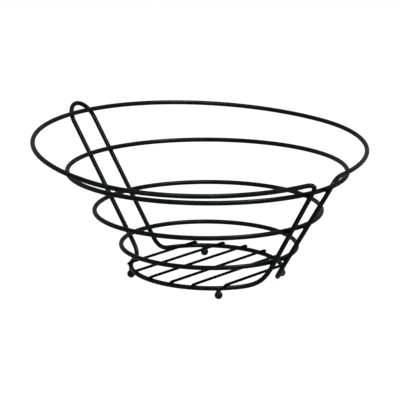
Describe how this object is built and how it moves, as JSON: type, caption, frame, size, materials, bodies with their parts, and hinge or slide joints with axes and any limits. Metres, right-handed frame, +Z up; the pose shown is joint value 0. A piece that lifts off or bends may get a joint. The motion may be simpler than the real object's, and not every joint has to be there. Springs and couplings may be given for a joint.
{
  "type": "fruit bowl",
  "caption": "Open bowl of coated round wire with a hairpin handle, closed rings between slanted legs, a floor of cross wires and ball feet.",
  "frame": {"origin": "middle of the whole bowl's box, on the surface it stands on", "axes": "+X towards the side where the rim's two ends turn down into the front legs, +Y to the left across the widest part of the rim, +Z up"},
  "size_m": [0.3157, 0.3628, 0.1507],
  "materials": {
    "frame_wire": "satin black powder coat on round steel wire",
    "rings": "satin black powder coat on round steel wire",
    "cross_wires": "satin black powder coat on thin round steel wire",
    "feet": "satin black powder coat on steel balls"
  },
  "bodies": {
    "root": {"frame_wire": "frame_wire", "ring_lower": "rings", "ring_middle": "rings", "ring_upper": "rings", "cross_wire_1": "cross_wires", "cross_wire_2": "cross_wires", "cross_wire_3": "cross_wires", "cross_wire_4": "cross_wires", "cross_wire_5": "cross_wires", "cross_wire_6": "cross_wires", "foot_front_left": "feet", "foot_front_right": "feet", "foot_rear_left": "feet", "foot_rear_right": "feet"}
  },
  "joints": []
}
